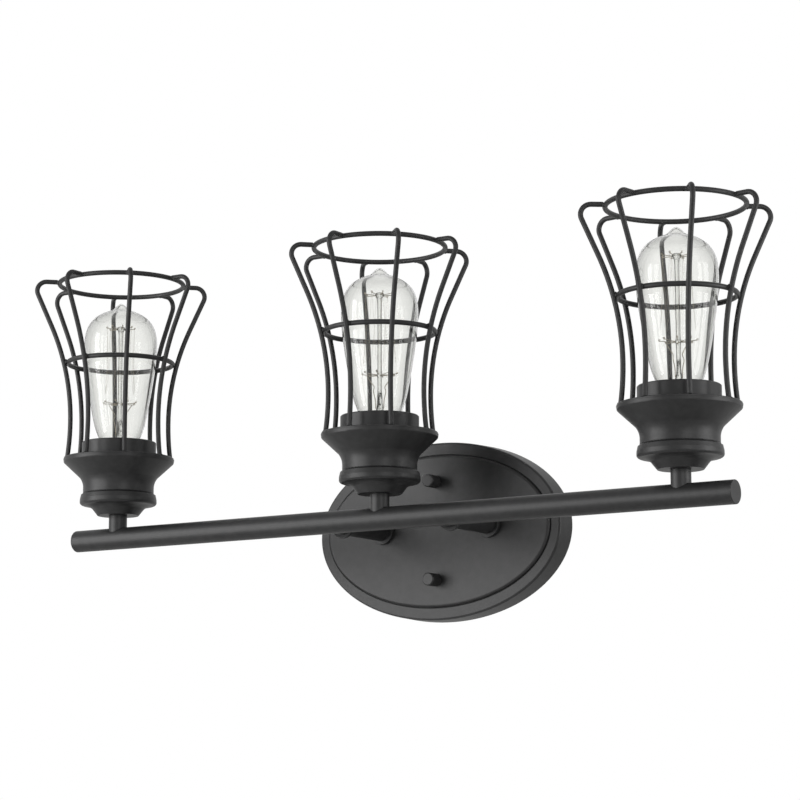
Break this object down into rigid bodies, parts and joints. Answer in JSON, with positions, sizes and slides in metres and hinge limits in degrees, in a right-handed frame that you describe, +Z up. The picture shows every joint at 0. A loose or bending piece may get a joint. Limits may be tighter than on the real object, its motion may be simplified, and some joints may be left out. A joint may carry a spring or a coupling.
{
  "type": "cage wall light",
  "caption": "Wall light with upright bulbs in open wire cages on a round bar, held off an oval wall plate by short arms.",
  "frame": {"origin": "centre of the mounting plate's slot pattern, on the wall plane at the back of the wall plate", "axes": "+X along the bar, +Y into the wall, +Z up; the lamps point up and stand on the -Y side"},
  "size_m": [0.7049, 0.1859, 0.3088],
  "materials": {
    "black_powder_coat": "satin black powder coat, fine texture",
    "black_wire_coat": "satin black powder coat on steel wire",
    "zinc_plate": "bright zinc plated steel",
    "green_screw": "green dyed ground screw",
    "black_rubber": "thin black rubber washer",
    "black_phenolic": "moulded black phenolic",
    "socket_brass": "rolled brass, slightly dull",
    "black_glass": "black fused insulator with a solder dot",
    "nickel_cap": "plated rolled cap",
    "clear_glass": "clear blown glass with a faint grey tint",
    "mount_glass": "clear pressed glass",
    "filament_wire": "dark tungsten and support wire"
  },
  "bodies": {
    "fixture": {"canopy": "black_powder_coat", "mounting_plate": "zinc_plate", "ground_screw": "green_screw", "canopy_studs": "zinc_plate", "stud_lock_nuts": "zinc_plate", "arm_left": "black_powder_coat", "arm_right": "black_powder_coat", "wall_collars": "black_powder_coat", "bar_collars": "black_powder_coat", "arm_lock_nuts": "zinc_plate", "bar_tube": "black_powder_coat", "bar_end_caps": "black_powder_coat", "stem_left": "black_powder_coat", "socket_cup_left": "black_powder_coat", "cage_base_left": "black_powder_coat", "cage_ribs_left": "black_wire_coat", "cage_rings_left": "black_wire_coat", "lamp_holder_left": "black_phenolic", "socket_shell_left": "socket_brass", "centre_contact_left": "socket_brass", "stem_middle": "black_powder_coat", "socket_cup_middle": "black_powder_coat", "cage_base_middle": "black_powder_coat", "cage_ribs_middle": "black_wire_coat", "cage_rings_middle": "black_wire_coat", "lamp_holder_middle": "black_phenolic", "socket_shell_middle": "socket_brass", "centre_contact_middle": "socket_brass", "stem_right": "black_powder_coat", "socket_cup_right": "black_powder_coat", "cage_base_right": "black_powder_coat", "cage_ribs_right": "black_wire_coat", "cage_rings_right": "black_wire_coat", "lamp_holder_right": "black_phenolic", "socket_shell_right": "socket_brass", "centre_contact_right": "socket_brass"},
    "bulb_base_left": {"bulb_insulator_left": "black_glass"},
    "bulb_left": {"bulb_cap_left": "nickel_cap", "bulb_glass_left": "clear_glass", "glass_mount_left": "mount_glass", "filament_left": "filament_wire"},
    "retaining_ring_left": {"retaining_ring_left": "black_powder_coat"},
    "bulb_base_middle": {"bulb_insulator_middle": "black_glass"},
    "bulb_middle": {"bulb_cap_middle": "nickel_cap", "bulb_glass_middle": "clear_glass", "glass_mount_middle": "mount_glass", "filament_middle": "filament_wire"},
    "retaining_ring_middle": {"retaining_ring_middle": "black_powder_coat"},
    "bulb_base_right": {"bulb_insulator_right": "black_glass"},
    "bulb_right": {"bulb_cap_right": "nickel_cap", "bulb_glass_right": "clear_glass", "glass_mount_right": "mount_glass", "filament_right": "filament_wire"},
    "retaining_ring_right": {"retaining_ring_right": "black_powder_coat"},
    "nut_washer_top": {"nut_washer_top": "black_rubber"},
    "cap_nut_top": {"cap_nut_top": "black_powder_coat"},
    "nut_washer_bottom": {"nut_washer_bottom": "black_rubber"},
    "cap_nut_bottom": {"cap_nut_bottom": "black_powder_coat"}
  },
  "joints": [
    {"name": "bulb_lift_left", "type": "slide", "parent": "fixture", "child": "bulb_base_left", "axis": [0, 0, 1], "range_m": [0, 0.01816]},
    {"name": "bulb_turn_left", "type": "hinge", "parent": "bulb_base_left", "child": "bulb_left", "pos_m": [-0.276, -0.109, 0.082], "axis": [0, 0, 1], "range_deg": [0, 1800]},
    {"name": "ring_turn_left", "type": "hinge", "parent": "fixture", "child": "retaining_ring_left", "pos_m": [-0.276, -0.109, 0.08], "axis": [0, 0, 1], "range_deg": [0, 720]},
    {"name": "bulb_lift_middle", "type": "slide", "parent": "fixture", "child": "bulb_base_middle", "axis": [0, 0, 1], "range_m": [0, 0.01816]},
    {"name": "bulb_turn_middle", "type": "hinge", "parent": "bulb_base_middle", "child": "bulb_middle", "pos_m": [0, -0.109, 0.082], "axis": [0, 0, 1], "range_deg": [0, 1800]},
    {"name": "ring_turn_middle", "type": "hinge", "parent": "fixture", "child": "retaining_ring_middle", "pos_m": [0, -0.109, 0.08], "axis": [0, 0, 1], "range_deg": [0, 720]},
    {"name": "bulb_lift_right", "type": "slide", "parent": "fixture", "child": "bulb_base_right", "axis": [0, 0, 1], "range_m": [0, 0.01816]},
    {"name": "bulb_turn_right", "type": "hinge", "parent": "bulb_base_right", "child": "bulb_right", "pos_m": [0.276, -0.109, 0.082], "axis": [0, 0, 1], "range_deg": [0, 1800]},
    {"name": "ring_turn_right", "type": "hinge", "parent": "fixture", "child": "retaining_ring_right", "pos_m": [0.276, -0.109, 0.08], "axis": [0, 0, 1], "range_deg": [0, 720]},
    {"name": "nut_slide_top", "type": "slide", "parent": "fixture", "child": "nut_washer_top", "axis": [0, -1, 0], "range_m": [0, 0.00796]},
    {"name": "nut_turn_top", "type": "hinge", "parent": "nut_washer_top", "child": "cap_nut_top", "pos_m": [0, -0.028, 0.042], "axis": [0, -1, 0], "range_deg": [0, 3600]},
    {"name": "nut_slide_bottom", "type": "slide", "parent": "fixture", "child": "nut_washer_bottom", "axis": [0, -1, 0], "range_m": [0, 0.00796]},
    {"name": "nut_turn_bottom", "type": "hinge", "parent": "nut_washer_bottom", "child": "cap_nut_bottom", "pos_m": [0, -0.028, -0.042], "axis": [0, -1, 0], "range_deg": [0, 3600]}
  ],
  "couplings": [
    {"joint": "bulb_lift_left", "follows": "bulb_turn_left", "m_per_rad": 0.00057757},
    {"joint": "bulb_lift_middle", "follows": "bulb_turn_middle", "m_per_rad": 0.00057757},
    {"joint": "bulb_lift_right", "follows": "bulb_turn_right", "m_per_rad": 0.00057757},
    {"joint": "nut_slide_top", "follows": "nut_turn_top", "m_per_rad": 0.00012633},
    {"joint": "nut_slide_bottom", "follows": "nut_turn_bottom", "m_per_rad": 0.00012633}
  ]
}
